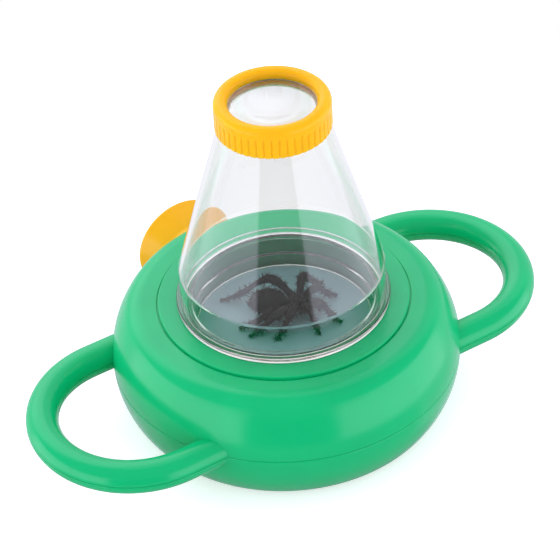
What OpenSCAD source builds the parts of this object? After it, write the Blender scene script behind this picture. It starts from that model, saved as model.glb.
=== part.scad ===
// Two-way insect viewer for children. A clear viewing cone with a magnifier cap stands on a
// round hollow body with two carrying handles. A side eyepiece looks at a mirror under the
// clear specimen dish, so the specimen is seen from above and from below.
// Millimetres. +Z is up, +X runs along the handles, +Y points out of the eyepiece.
// The origin is the middle of the base, on the table.

/* [Body] */
// Largest radius of the body, at the parting line
body_r = 65; // [62:0.5:72]
// Height of the deck above the table
deck_h = 47; // [45:0.5:52]
// Height of the parting line above the table
seam_h = 24; // [22.5:0.5:26]
// Radius of the curved flank in a vertical section
flank_r = 34.5; // [32:0.5:40]
// Radius where the flank turns into the deck
shoulder_r = 8.4; // [7:0.2:10]
// Radius where the flank turns into the base
foot_r = 10.5; // [8:0.5:12]
// Thickness of the two body shells
wall = 2.4; // [1.8:0.1:2.8]
// Radius of the raised round plateau on the deck
plateau_r = 46.5; // [44:0.5:49]
// Height of the plateau above the deck
plateau_rise = 1.1; // [0.6:0.1:2]
// Height of the locating lip inside the parting line
seam_lip_h = 2; // [1:0.5:3]
// Thickness of the locating lip
seam_lip_t = 1.2; // [0.8:0.1:1.6]
// Radial clearance between the locating lip and the upper shell
seam_gap = 0.2; // [0.15:0.05:0.4]

/* [Handles] */
// Diameter of the round handle bar
grip_d = 12; // [10:0.5:14]
// Distance between the two arms of a handle
grip_spacing = 69; // [60:1:74]
// Distance from the middle of the body to a handle's far side
grip_reach = 105.5; // [102:0.5:115]
// Wall thickness of the hollow handle bar
grip_wall = 2; // [1.6:0.1:2.6]

/* [Specimen dish] */
// Outer radius of the clear dish
dish_r = 35; // [32:0.5:37]
// Thickness of the dish's wall
dish_wall = 1; // [0.8:0.1:1.4]
// Thickness of the dish's floor
dish_floor_t = 1.5; // [1:0.1:2]
// Depth of the dish inside
dish_depth = 13.7; // [12:0.1:15]
// Height of the dish's rim above the plateau
dish_stand = 1.8; // [1:0.1:3]
// Height of the thicker lower part of the dish's wall
dish_step_h = 5; // [3:0.5:7]
// Extra thickness of the lower part of the dish's wall
dish_step_w = 0.8; // [0.4:0.1:1.2]
// Radial clearance between the dish and its well
dish_gap = 0.4; // [0.3:0.1:0.8]
// Thickness of the well's wall and of its ledge
well_wall = 1.6; // [1.2:0.1:2]
// Width of the ledge that carries the dish
ledge_w = 4.9; // [3:0.1:6]

/* [Viewing cone] */
// Wall thickness of the clear cone
cone_wall = 1.6; // [1.2:0.1:2]
// Radial clearance between the dish's rim and the cone's skirt
skirt_gap = 1.2; // [0.6:0.1:1.8]
// Height of the upright skirt under the cone
skirt_h = 15; // [12:0.5:18]
// Width of the foot bead round the skirt
bead_w = 1.7; // [1:0.1:2.4]
// Height of the foot bead
bead_h = 2.3; // [1.6:0.1:3]
// Height of the sloping part of the cone
cone_h = 61.9; // [55:0.1:70]
// Width of the shoulder under the magnifier cap
cone_shoulder_w = 1.5; // [1:0.1:2]
// Outer radius of the neck under the magnifier cap
neck_r = 18.3; // [16:0.1:20]
// Height of the neck
neck_h = 6.5; // [5:0.1:8]

/* [Magnifier cap] */
// Wall thickness of the cap
cap_wall = 2.5; // [2:0.1:3]
// Radial running clearance between the cap and the neck
cap_gap = 0.08; // [0.05:0.01:0.1]
// Width of the rounded lip that holds the lens
lip_w = 5.2; // [4.6:0.1:5.6]
// Height of the lip above the lens
lip_h = 3.5; // [3.2:0.1:4.5]
// Number of grip grooves round the cap
groove_count = 48; // [36:1:60]
// Radius of one grip groove
groove_r = 0.8; // [0.5:0.1:1]
// Depth of one grip groove
groove_depth = 0.35; // [0.2:0.05:0.5]
// Height of the grooved band
groove_h = 7; // [5:0.5:8]
// Thickness of the lens at its edge
lens_edge_t = 1.7; // [1.4:0.1:2.2]
// Curve radius of the lens faces
lens_curve_r = 70; // [50:1:90]
// Axial play of the lens between the neck and the lip
lens_play = 0.1; // [0.05:0.05:0.2]

/* [Eyepiece] */
// Distance from the middle of the body to the eyecup's rim
eye_reach = 77; // [75:0.5:82]
// Radius of the eyecup's rim
eye_rim_r = 19; // [17.5:0.5:21]
// Outer radius of the eyepiece tube
eye_tube_r = 15; // [13:0.5:16]
// Wall thickness of the eyepiece
eye_wall = 2; // [1.6:0.1:2.4]
// Distance between the dish's well and the tube's inner end
eye_setback = 3; // [2:0.5:5]
// Width of the collar that locks the tube in the shells
eye_collar_w = 2; // [1.5:0.1:3]
// Height of the collar above the tube
eye_collar_rise = 2; // [1:0.1:3]
// Distance from the tube's inner end to the collar
eye_collar_y = 7; // [6:0.5:8]
// Thickness of the two saddle ribs beside the collar
saddle_t = 2.4; // [1.6:0.1:3]
// Clearance round the tube, collar and eyepiece lens
eye_gap = 0.1; // [0.05:0.05:0.2]
// Width of the shoulder that the eyepiece lens sits on
eye_seat_w = 1.2; // [0.8:0.1:1.6]
// Distance from the body's side to the eyepiece lens seat
eye_seat_depth = 5; // [3:0.5:7]
// Thickness of the eyepiece lens at its edge
eye_lens_edge_t = 2; // [1.5:0.1:3]
// Curve radius of the eyepiece lens faces
eye_lens_curve_r = 40; // [30:1:60]
// Length of the ring that holds the eyepiece lens
eye_ring_h = 2; // [1.5:0.1:3]
// Wall thickness of the ring that holds the eyepiece lens
eye_ring_w = 1.8; // [1.2:0.1:2.4]

/* [Mirror] */
// Width of the mirror
mirror_w = 46; // [36:1:50]
// Thickness of the mirror
mirror_t = 2; // [1.5:0.1:3]
// Thickness of the walls of the mirror's holder
holder_t = 2; // [1.6:0.1:2.4]
// Clearance round the mirror
mirror_gap = 0.3; // [0.2:0.1:0.6]
// Width of each screw tab on the holder
tab_w = 11; // [9:0.5:13]
// Height of the bosses that the tabs sit on
tab_boss_h = 4; // [3:0.5:6]

/* [Screws] */
// Radius of the circle of body screws
screw_circle_r = 46; // [44:0.5:47]
// Diameter of a body screw's shank
screw_d = 3; // [2.5:0.1:3.5]
// Length of a body screw's shank
screw_len = 20; // [14:1:22]
// Plastic under a body screw's head, up to the boss's top
screw_grip = 10; // [6:0.5:14]
// Diameter of a body screw's head
screw_head_d = 5.8; // [5:0.1:6.4]
// Height of a screw's head
screw_head_h = 2.2; // [1.6:0.1:2.6]
// Outer diameter of the screw bosses
boss_d = 9; // [8.5:0.5:10]
// Distance from the top of the lower bosses to the parting line
boss_drop = 2; // [1:0.5:4]
// Diameter of a mirror screw's shank
tab_screw_d = 2.4; // [2:0.1:3]
// Length of a mirror screw's shank
tab_screw_len = 6; // [5:0.5:7]
// Diameter of a mirror screw's head
tab_screw_head_d = 4.6; // [4:0.1:5]
// Radial clearance of the screw shanks in their holes
screw_gap = 0.05; // [0.02:0.01:0.1]
// Radial clearance of the screw heads in their pockets
head_gap = 0.4; // [0.2:0.1:0.6]
// Width of the cross slot in a screw's head
slot_w = 0.8; // [0.5:0.1:1]

/* [Toy spider] */
// Half length of the abdomen
abdomen_len = 7; // [6:0.5:8]
// Half height of the abdomen
abdomen_rise = 4.8; // [4:0.2:5.4]
// Half length of the front body
thorax_len = 5; // [4:0.5:6]
// Radius of a leg at its root
leg_root_r = 1.3; // [0.9:0.1:1.6]
// Radius of a leg at its tip
leg_tip_r = 0.5; // [0.3:0.1:0.7]
// Turn of the spider in the dish, seen from above
spider_turn = -30.6; // [-90:0.1:90]

/* [Hidden] */
$fn = 96;

body_green = [0.02, 0.62, 0.30];
cap_orange = [1.0, 0.66, 0.08];
clear_plastic = [0.85, 0.93, 0.95, 0.35];
// How far a cut runs past the face it opens
cut = 1;
// How far the ribs sink into the shell that they stand on
rib_sink = wall / 20;
flank_steps = 10;
edge_steps = 7;

// Body section: the flank arc meets a smaller arc at the deck and another at the base
flank_x = body_r - flank_r;
shoulder_a = asin((deck_h - shoulder_r - seam_h) / (flank_r - shoulder_r));
shoulder_x = flank_x + (flank_r - shoulder_r) * cos(shoulder_a);
foot_a = asin((seam_h - foot_r) / (flank_r - foot_r));
foot_x = flank_x + (flank_r - foot_r) * cos(foot_a);
plateau_z = deck_h + plateau_rise;

// Handles
grip_end_x = grip_reach - grip_d / 2 - grip_spacing / 2;
arm_outer_y = grip_spacing / 2 + grip_d / 2;
grip_root_x = sqrt(pow(body_r - wall, 2) - pow(arm_outer_y, 2)) - grip_d / 2;

// Dish and well
dish_rim_z = plateau_z + dish_stand;
dish_floor_z = dish_rim_z - dish_depth;
dish_bottom_z = dish_floor_z - dish_floor_t;
well_r = dish_r + dish_gap;
ledge_r = well_r - ledge_w;
well_z = dish_bottom_z - well_wall;

// Viewing cone
skirt_in_r = dish_r + skirt_gap;
skirt_r = skirt_in_r + cone_wall;
skirt_top_z = plateau_z + skirt_h;
neck_z = skirt_top_z + cone_h;
neck_top_z = neck_z + neck_h;
cone_top_r = neck_r + cone_shoulder_w;
neck_in_r = neck_r - cone_wall;
bead_edge_r = bead_h / 4;
// Radius of the inner wall just under the neck's shoulder
cone_slope = (skirt_r - cone_top_r) / cone_h;
cone_in_top_r = cone_top_r + cone_slope * cone_wall - cone_wall;

// Magnifier cap and lens
cap_bore_r = neck_r + cap_gap;
cap_r = cap_bore_r + cap_wall;
cap_z = neck_z + 2 * lens_play;
lens_z = neck_top_z + lens_play;
lip_z = lens_z + lens_edge_t + lens_play;
cap_top_z = lip_z + lip_h;
lip_edge_r = lip_w / 2;
cap_open_r = cap_r - lip_w;
lens_optic_r = cap_open_r - lens_edge_t / 4;

// Eyepiece, measured along +Y
eye_in_y = well_r + well_wall + eye_setback;
eye_len = eye_reach - eye_in_y;
eye_collar_r = eye_tube_r + eye_collar_rise;
eye_bore_r = eye_tube_r - eye_wall - eye_seat_w;
eye_pocket_r = eye_tube_r - eye_wall;
eye_seat = body_r - eye_seat_depth - eye_in_y;
eye_flare = body_r + eye_wall / 2 - eye_in_y;
eye_lens_r = eye_pocket_r - eye_gap / 2;
eye_lens_optic_r = eye_bore_r - eye_wall / 4;
saddle_w = 2 * (eye_collar_r + saddle_t);
collar_y = eye_in_y + eye_collar_y;

// Mirror: its face passes through the middle of the eyepiece axis at 45 degrees
mirror_high_z = well_z - 2 * mirror_gap;
mirror_low_z = wall + (mirror_t + 2 * holder_t) / sqrt(2) + 2 * mirror_gap;
holder_w = mirror_w + 2 * mirror_gap + 2 * holder_t;
holder_front_y = seam_h - mirror_low_z;
holder_top_y = seam_h - mirror_high_z;
holder_back_y = holder_top_y - 3 * holder_t;
tab_z = wall + tab_boss_h;
tab_x = holder_w / 2 + tab_w / 2;
tab_y = (holder_top_y + holder_front_y) / 2 - tab_w / 2;

// Screws
boss_top_z = seam_h - boss_drop;
head_seat_z = boss_top_z - screw_grip;

// Toy spider, seen from the front of the viewer: x to the right, y away
abdomen_at = [-6, 4];
thorax_at = [5.5, 3.5];
leg_knees = [[-4.5, 13, 9.5], [-5, -4.5, 7], [-2, -6, 8], [2.5, -6, 8],
    [9, -4, 8], [13, 0, 7], [7.5, 13, 9.5], [12, 8, 8]];
leg_tips = [[-24, 12.5], [-17, -4], [-13.5, -9], [-3.5, -12],
    [12.5, -10], [21, -4], [15, 20], [20, 12]];
// Share of the way from knee to tip, and of the knee's height, where the shin bends
shin_share = 0.6;
shin_rise = 0.35;

function arc(cx, cz, r, from, to, steps) =
    [for (i = [0:steps]) let (a = from + (to - from) * i / steps) [cx + r * cos(a), cz + r * sin(a)]];

function tail(points) = [for (i = [1:len(points) - 1]) points[i]];

// Side of the upper body from the parting line to the deck's edge, moved in by inset
function upper_side(inset) = concat(
    arc(flank_x, seam_h, flank_r - inset, 0, shoulder_a, flank_steps),
    tail(arc(shoulder_x, deck_h - shoulder_r, shoulder_r - inset, shoulder_a, 90, edge_steps)));

// Side of the lower body from the base's edge to the parting line, moved in by inset
function lower_side(inset) = concat(
    arc(foot_x, foot_r, foot_r - inset, -90, -foot_a, edge_steps),
    tail(arc(flank_x, seam_h, flank_r - inset, -foot_a, 0, flank_steps)));

function backwards(points) = [for (i = [len(points) - 1:-1:0]) points[i]];

// Half of the hollow handle bar's section, above or below the parting line
module grip_section(half) {
    r = grip_d / 2;
    intersection() {
        difference() {
            circle(r = r);
            circle(r = r - grip_wall);
        }
        translate([-grip_d, half > 0 ? 0 : -grip_d]) square([2 * grip_d, grip_d]);
    }
}

// Both handle loops, halved at the parting line: two straight arms and a half ring each
module grip_loops(half) {
    for (side = [0, 180]) rotate([0, 0, side]) translate([0, 0, seam_h]) {
        for (arm = [-1, 1])
            translate([grip_root_x, arm * grip_spacing / 2, 0])
                rotate([90, 0, 90])
                    linear_extrude(grip_end_x - grip_root_x)
                        grip_section(half);
        translate([grip_end_x, 0, 0])
            rotate([0, 0, -90])
                rotate_extrude(angle = 180)
                    translate([grip_spacing / 2, 0])
                        grip_section(half);
    }
}

// Places its children along the eyepiece axis, y from the middle of the body
module on_eye_axis(y) {
    translate([0, y, seam_h]) rotate([-90, 0, 0]) children();
}

module at_screws() {
    for (i = [0:3]) rotate([0, 0, 45 + 90 * i]) translate([screw_circle_r, 0, 0]) children();
}

module at_tabs() {
    for (side = [-1, 1]) translate([side * tab_x, tab_y, 0]) children();
}

// Extrudes a section drawn in Y and Z, centred on X
module across(w) {
    rotate([90, 0, 90]) linear_extrude(w, center = true) children();
}

// Round hole for the eyepiece tube, with its starting line turned away from the parting line
module eye_hole() {
    on_eye_axis(eye_in_y - cut)
        rotate([0, 0, 45])
            cylinder(r = eye_tube_r + eye_gap, h = eye_reach);
}

// Two ribs beside the eyepiece's collar, between two heights
module saddle_ribs(low_z, high_z) {
    rib_gap = eye_collar_w / 2 + eye_gap;
    for (y = [collar_y - rib_gap - saddle_t, collar_y + rib_gap])
        translate([-saddle_w / 2, y, low_z])
            cube([saddle_w, saddle_t, high_z - low_z]);
}

// Pan head screw with a cross slot: the head's seat at z = 0, the shank upwards
module screw(d, len, head_d) {
    cylinder(d = d, h = len);
    difference() {
        translate([0, 0, -screw_head_h]) cylinder(d = head_d, h = screw_head_h);
        for (turn = [0, 90]) rotate([0, 0, turn])
            translate([-head_d / 3, -slot_w / 2, -screw_head_h - cut])
                cube([head_d * 2 / 3, slot_w, cut + screw_head_h / 2]);
    }
}

// Moulded lens: a flat mounting flange with a domed optical zone on both sides
module lens(flange_r, optic_r, edge_t, curve_r) {
    dome_a = asin(optic_r / curve_r);
    centre_z = edge_t - curve_r * cos(dome_a);
    rotate_extrude() polygon(concat(
        arc(0, edge_t - centre_z, curve_r, -90, dome_a - 90, edge_steps),
        [[flange_r, 0], [flange_r, edge_t]],
        arc(0, centre_z, curve_r, 90 - dome_a, 90, edge_steps)));
}

module lower_shell() {
    lip_out_r = body_r - wall - seam_gap;
    lip_in_r = lip_out_r - seam_lip_t;
    color(body_green) difference() {
        union() {
            rotate_extrude() polygon(concat(
                [[0, 0]], lower_side(0),
                [[lip_out_r, seam_h], [lip_out_r, seam_h + seam_lip_h], [lip_in_r, seam_h + seam_lip_h],
                    [lip_in_r, seam_h - seam_lip_h], [body_r - wall - rib_sink, seam_h - seam_lip_h]],
                tail(tail(backwards(lower_side(wall)))),
                [[0, wall]]));
            difference() {
                grip_loops(-1);
                rotate_extrude() polygon(concat([[0, 0]], lower_side(wall / 2),
                    [[body_r - wall / 2, seam_h + cut], [0, seam_h + cut]]));
            }
            at_screws() translate([0, 0, wall / 2]) cylinder(d = boss_d, h = boss_top_z - wall / 2);
            at_tabs() translate([0, 0, wall / 2]) cylinder(d = tab_w * 2 / 3, h = tab_z - wall / 2);
            saddle_ribs(wall - rib_sink, seam_h);
        }
        eye_hole();
        at_screws() {
            translate([0, 0, -cut]) cylinder(r = screw_head_d / 2 + head_gap, h = head_seat_z + cut);
            cylinder(r = screw_d / 2 + screw_gap, h = seam_h);
        }
        at_tabs() translate([0, 0, tab_z + holder_t - tab_screw_len - screw_gap])
            cylinder(r = tab_screw_d / 2 + screw_gap, h = tab_screw_len);
    }
}

module upper_shell() {
    post_h = deck_h - wall / 2 - boss_top_z;
    well_out_r = well_r + well_wall;
    color(body_green) difference() {
        union() {
            rotate_extrude() polygon(concat(
                upper_side(0),
                [[plateau_r, deck_h], [plateau_r, plateau_z], [well_r, plateau_z],
                    [well_r, dish_bottom_z], [ledge_r, dish_bottom_z], [ledge_r, well_z],
                    [well_out_r, well_z], [well_out_r, deck_h - wall]],
                backwards(upper_side(wall))));
            difference() {
                grip_loops(1);
                rotate_extrude() polygon(concat([[0, seam_h - cut], [body_r - wall / 2, seam_h - cut]],
                    upper_side(wall / 2), [[0, deck_h - wall / 2]]));
            }
            at_screws() translate([0, 0, boss_top_z]) cylinder(d = boss_d, h = post_h);
            saddle_ribs(seam_h, deck_h - wall + rib_sink);
        }
        eye_hole();
        at_screws() translate([0, 0, head_seat_z])
            cylinder(r = screw_d / 2 + screw_gap, h = screw_len + screw_gap);
    }
}

module shell_screws() {
    color("silver") at_screws() translate([0, 0, head_seat_z]) screw(screw_d, screw_len, screw_head_d);
}

module mirror_screws() {
    color("silver") at_tabs() translate([0, 0, tab_z + holder_t])
        mirror([0, 0, 1]) screw(tab_screw_d, tab_screw_len - screw_head_h / 2, tab_screw_head_d);
}

// Strip parallel to the mirror's face, between two depths behind it and two heights
module mirror_strip(front, back, low_z, high_z) {
    polygon([
        [seam_h - low_z - front, low_z - front], [seam_h - high_z - front, high_z - front],
        [seam_h - high_z - back, high_z - back], [seam_h - low_z - back, low_z - back]]);
}

module mirror_plate() {
    color("lightsteelblue") across(mirror_w)
        mirror_strip(0, mirror_t / sqrt(2), mirror_low_z, mirror_high_z);
}

module mirror_holder() {
    plate_front = mirror_t / sqrt(2);
    plate_back = (mirror_t + holder_t) / sqrt(2);
    stop_drop = (mirror_gap + holder_t) / sqrt(2);
    gap_drop = mirror_gap / sqrt(2);
    color([0.1, 0.1, 0.1]) {
        across(holder_w) {
            mirror_strip(plate_front, plate_back, mirror_low_z - stop_drop, mirror_high_z - gap_drop);
            mirror_strip(0, plate_back, mirror_low_z - stop_drop, mirror_low_z - gap_drop);
            translate([holder_back_y, wall])
                square([holder_front_y - holder_back_y, holder_t]);
        }
        for (side = [-1, 1]) translate([side * (holder_w - holder_t) / 2, 0, 0])
            across(holder_t)
                polygon([[holder_front_y, wall], [holder_front_y, mirror_low_z],
                    [holder_top_y, mirror_high_z], [holder_top_y - holder_t, mirror_high_z],
                    [holder_back_y, wall]]);
        difference() {
            at_tabs() translate([-tab_w / 2 - holder_t / 2, -tab_w / 2, tab_z])
                cube([tab_w + holder_t, tab_w, holder_t]);
            at_tabs() translate([0, 0, tab_z - cut])
                cylinder(r = tab_screw_d / 2 + screw_gap, h = holder_t + 2 * cut);
            translate([-holder_w / 2 + holder_t, tab_y - tab_w, tab_z - cut])
                cube([holder_w - 2 * holder_t, 2 * tab_w, holder_t + 2 * cut]);
        }
    }
}

module eyepiece_cup() {
    rim_edge_r = eye_wall / 2;
    color(cap_orange) on_eye_axis(eye_in_y) rotate_extrude() polygon(concat(
        [[eye_bore_r, 0], [eye_tube_r, 0],
            [eye_tube_r, eye_collar_y - eye_collar_w / 2], [eye_collar_r, eye_collar_y - eye_collar_w / 2],
            [eye_collar_r, eye_collar_y + eye_collar_w / 2], [eye_tube_r, eye_collar_y + eye_collar_w / 2],
            [eye_tube_r, eye_flare]],
        arc(eye_rim_r - rim_edge_r, eye_len - rim_edge_r, rim_edge_r, 0, 180, edge_steps),
        [[eye_pocket_r, eye_flare], [eye_pocket_r, eye_seat], [eye_bore_r, eye_seat]]));
}

module eyepiece_lens() {
    color(clear_plastic) on_eye_axis(eye_in_y + eye_seat)
        lens(eye_lens_r, eye_lens_optic_r, eye_lens_edge_t, eye_lens_curve_r);
}

module eyepiece_lens_ring() {
    color(cap_orange) on_eye_axis(eye_in_y + eye_seat + eye_lens_edge_t) difference() {
        cylinder(r = eye_lens_r, h = eye_ring_h);
        translate([0, 0, -cut]) cylinder(r = eye_lens_r - eye_ring_w, h = eye_ring_h + 2 * cut);
    }
}

module specimen_dish() {
    upper_in_r = dish_r - dish_wall;
    lower_in_r = upper_in_r - dish_step_w;
    step_z = dish_floor_z + dish_step_h;
    color(clear_plastic) rotate_extrude() polygon([
        [0, dish_bottom_z], [dish_r, dish_bottom_z], [dish_r, dish_rim_z], [upper_in_r, dish_rim_z],
        [upper_in_r, step_z + dish_step_w], [lower_in_r, step_z],
        [lower_in_r, dish_floor_z], [0, dish_floor_z]]);
}

module viewing_cone() {
    bead_r = skirt_r + bead_w;
    bead_top_z = plateau_z + bead_h;
    color(clear_plastic) rotate_extrude() polygon(concat(
        [[skirt_in_r, plateau_z]],
        arc(bead_r - bead_edge_r, plateau_z + bead_edge_r, bead_edge_r, -90, 0, edge_steps),
        arc(bead_r - bead_edge_r, bead_top_z - bead_edge_r, bead_edge_r, 0, 90, edge_steps),
        [[skirt_r, bead_top_z], [skirt_r, skirt_top_z], [cone_top_r, neck_z], [neck_r, neck_z],
            [neck_r, neck_top_z], [neck_in_r, neck_top_z], [neck_in_r, neck_z - cone_wall],
            [cone_in_top_r, neck_z - cone_wall], [skirt_in_r, skirt_top_z]]));
}

module magnifier_lens() {
    color(clear_plastic) translate([0, 0, lens_z]) lens(neck_r, lens_optic_r, lens_edge_t, lens_curve_r);
}

module magnifier_cap() {
    color(cap_orange) difference() {
        rotate_extrude() polygon(concat(
            [[cap_bore_r, cap_z], [cap_r, cap_z]],
            arc(cap_r - lip_edge_r, cap_top_z - lip_edge_r, lip_edge_r, 0, 180, 2 * edge_steps),
            [[cap_open_r, lip_z], [cap_bore_r, lip_z]]));
        for (i = [0:groove_count - 1]) rotate([0, 0, 360 * i / groove_count])
            translate([cap_r + groove_r - groove_depth, 0, cap_z - cut])
                cylinder(r = groove_r, h = groove_h + cut);
    }
}

// One leg from the front body over its knee and shin to its tip on the dish's floor
module spider_leg(knee, tip) {
    shin = [knee[0] + (tip[0] - knee[0]) * shin_share, knee[1] + (tip[1] - knee[1]) * shin_share,
        knee[2] * shin_rise];
    points = [[thorax_at[0], thorax_at[1], abdomen_rise], knee, shin, [tip[0], tip[1], leg_tip_r]];
    for (i = [0:2]) hull() for (k = [i, i + 1])
        translate(points[k])
            sphere(r = leg_root_r + (leg_tip_r - leg_root_r) * k / 3, $fn = 8);
}

module toy_spider() {
    color([0.05, 0.05, 0.05])
        translate([0, 0, dish_floor_z]) rotate([0, 0, spider_turn]) {
            translate([abdomen_at[0], abdomen_at[1], abdomen_rise + leg_root_r])
                scale([abdomen_len, abdomen_rise, abdomen_rise]) sphere(r = 1, $fn = 24);
            translate([thorax_at[0], thorax_at[1], abdomen_rise])
                scale([thorax_len, abdomen_rise * 0.8, abdomen_rise * 0.7]) sphere(r = 1, $fn = 20);
            for (i = [0:len(leg_tips) - 1]) spider_leg(leg_knees[i], leg_tips[i]);
        }
}

lower_shell();
upper_shell();
shell_screws();
mirror_plate();  // mirror
mirror_holder();
mirror_screws();
eyepiece_cup();
eyepiece_lens();
eyepiece_lens_ring();
specimen_dish();
toy_spider();
viewing_cone();
magnifier_lens();
magnifier_cap();
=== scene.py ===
# %% [markdown]
# A child's two-way insect viewer, dressed in Blender round its CAD frame.
# A clear cone with an orange magnifier cap stands over a clear dish in a round green body.
# The body has two loop handles, and an orange eyecup on its far side looks in from below.
# The frame gives the places and the joints. This script adds the smooth mouldings, the clear
# plastic, the small edges, the toy spider, the finishes, the light and the camera.

# %% Load the frame
import math
import bmesh
import bpy
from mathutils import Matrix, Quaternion, Vector


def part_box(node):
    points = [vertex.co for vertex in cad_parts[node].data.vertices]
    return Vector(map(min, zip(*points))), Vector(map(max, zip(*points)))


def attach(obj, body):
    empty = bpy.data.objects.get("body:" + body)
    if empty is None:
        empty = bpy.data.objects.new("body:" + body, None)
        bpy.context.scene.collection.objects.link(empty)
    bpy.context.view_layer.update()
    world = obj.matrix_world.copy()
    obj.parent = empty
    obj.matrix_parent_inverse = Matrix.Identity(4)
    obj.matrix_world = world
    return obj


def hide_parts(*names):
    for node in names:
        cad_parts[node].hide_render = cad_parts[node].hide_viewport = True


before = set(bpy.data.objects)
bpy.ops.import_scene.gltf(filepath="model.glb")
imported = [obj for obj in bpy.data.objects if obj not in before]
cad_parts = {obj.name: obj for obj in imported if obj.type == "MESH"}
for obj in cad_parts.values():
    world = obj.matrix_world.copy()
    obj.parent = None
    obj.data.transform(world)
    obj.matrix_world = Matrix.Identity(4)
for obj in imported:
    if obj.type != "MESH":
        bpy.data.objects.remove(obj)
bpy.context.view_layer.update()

MM = 0.001


def frame_mm(node_name, corner, axis):
    """A side of a CAD node's box in millimetres, to a tenth: corner 0 is low and 1 is high."""
    return round(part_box(node_name)[corner][axis] / MM, 1)


# %% [markdown]
# The camera comes first, because everything else is judged through it. Its place was fitted to
# the round edges of the viewer, so it is given as a photographer would set it up: how far away,
# how high, round which side, and how much it leans. The lens is long, so the view is nearly flat.
# Light may bounce many times, because it crosses a clear wall at every few millimetres here.

# %% Camera
AIM = Vector((4.14, 8.90, 47.0)) * MM
CAMERA_DISTANCE = 979.9 * MM
CAMERA_SIDE = math.radians(-30.56)
CAMERA_HEIGHT = math.radians(38.95)
CAMERA_LEAN = math.radians(-3.40)
CAMERA_LENS = 169.44
CLEAR_BOUNCES = 24

toward_camera = Vector((
    math.sin(CAMERA_SIDE) * math.cos(CAMERA_HEIGHT),
    -math.cos(CAMERA_SIDE) * math.cos(CAMERA_HEIGHT),
    math.sin(CAMERA_HEIGHT)))
camera_data = bpy.data.cameras.new("viewer_camera")
camera_data.lens = CAMERA_LENS
camera_data.sensor_width = 36
camera_data.clip_start = 0.05
camera = bpy.data.objects.new("viewer_camera", camera_data)
camera.rotation_mode = "QUATERNION"
camera.location = AIM + toward_camera * CAMERA_DISTANCE
camera.rotation_quaternion = (
    (-toward_camera).to_track_quat("-Z", "Y") @ Quaternion((0, 0, 1), CAMERA_LEAN))
bpy.context.scene.collection.objects.link(camera)
bpy.context.scene.camera = camera
bpy.context.scene.view_settings.view_transform = "Standard"
for bounces in ("max_bounces", "glossy_bounces", "transmission_bounces"):
    setattr(bpy.context.scene.cycles, bounces, CLEAR_BOUNCES)
print("camera at", [round(v, 3) for v in camera.location])

# %% [markdown]
# Nearly every piece is a turned moulding, so it starts as a flat outline of radius and height.
# Moulded edges are never knife sharp: a corner of the outline may carry a third number, the
# radius that rounds it off. A bevel modifier could do this later, but in the outline each edge
# has its own radius and its steps stay even.

# %% Outlines
EDGE_STEPS = 5


def arc(centre_r, centre_z, radius, start, end, steps):
    """Points of an arc in a section, with its angles in degrees."""
    angles = [math.radians(start + (end - start) * i / steps) for i in range(steps + 1)]
    return [(centre_r + radius * math.cos(a), centre_z + radius * math.sin(a)) for a in angles]


def rounded(corners):
    """A closed outline whose corners with a third number are rounded by that radius."""
    points = []
    for i, corner in enumerate(corners):
        here = Vector(corner[:2])
        if len(corner) < 3:
            points.append(here)
            continue
        back = (Vector(corners[i - 1][:2]) - here).normalized()
        onward = (Vector(corners[(i + 1) % len(corners)][:2]) - here).normalized()
        half = back.angle(onward) / 2
        centre = here + (back + onward).normalized() * (corner[2] / math.sin(half))
        start = here + back * (corner[2] / math.tan(half)) - centre
        end = here + onward * (corner[2] / math.tan(half)) - centre
        for k in range(EDGE_STEPS + 1):
            points.append(centre + start.slerp(end, k / EDGE_STEPS) * corner[2])
    return [tuple(p) for p in points]


print("an edge is rounded in", EDGE_STEPS, "steps")

# %% [markdown]
# Every piece is a mesh with smooth shading and some sharp edges. The shading comes from a Weighted
# Normal modifier, which lets the large faces decide. That matters most for the clear pieces: if
# the small edge faces tilt the normals of a long wall, light bends the wrong way there and the
# wall turns dark. Modifiers are made into plain mesh at once, so none stays live.

# %% Pieces and their shading
def new_piece(name, mesh):
    """An object for a mesh, at the origin."""
    piece = bpy.data.objects.new(name, mesh)
    bpy.context.scene.collection.objects.link(piece)
    return piece


def baked(piece):
    """Keeps what a piece's modifiers made as its plain mesh, and drops the modifiers."""
    depsgraph = bpy.context.evaluated_depsgraph_get()
    mesh = bpy.data.meshes.new_from_object(piece.evaluated_get(depsgraph))
    piece.modifiers.clear()
    piece.data = mesh
    return piece


def smooth(piece, crease=32):
    """Smooth shading that keeps edges sharper than crease and leaves the large faces flat."""
    piece.data.shade_smooth()
    piece.data.set_sharp_from_angle(angle=math.radians(crease))
    even = piece.modifiers.new("even", "WEIGHTED_NORMAL")
    even.keep_sharp = True
    return baked(piece)


def mesh_piece(name, bm):
    """A piece from a finished bmesh, with its faces pointing outwards."""
    bmesh.ops.recalc_face_normals(bm, faces=bm.faces)
    mesh = bpy.data.meshes.new(name)
    bm.to_mesh(mesh)
    bm.free()
    return new_piece(name, mesh)


print("pieces are shaded by their large faces")

# %% [markdown]
# An outline becomes a solid when it is turned once round the Z axis. A Screw modifier could turn
# it too, but here points on the axis are shared, so a lens or a floor closes at its centre.

# %% Spun pieces
ROUND = 288


def spun(name, outline, segments=ROUND):
    """A closed (radius, height) outline in millimetres, turned once round the Z axis."""
    bm = bmesh.new()
    turns = [2 * math.pi * i / segments for i in range(segments)]
    rings = []
    for r, z in outline:
        if r < 1e-6:
            rings.append([bm.verts.new((0, 0, z * MM))] * segments)
        else:
            rings.append([bm.verts.new((r * math.cos(t) * MM, r * math.sin(t) * MM, z * MM))
                          for t in turns])
    for ring, following in zip(rings, rings[1:] + rings[:1]):
        for i in range(segments):
            j = (i + 1) % segments
            corners = dict.fromkeys((ring[i], ring[j], following[j], following[i]))
            if len(corners) > 2:
                bm.faces.new(list(corners))
    return mesh_piece(name, bm)


print("a turned piece has", ROUND, "steps round")

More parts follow.
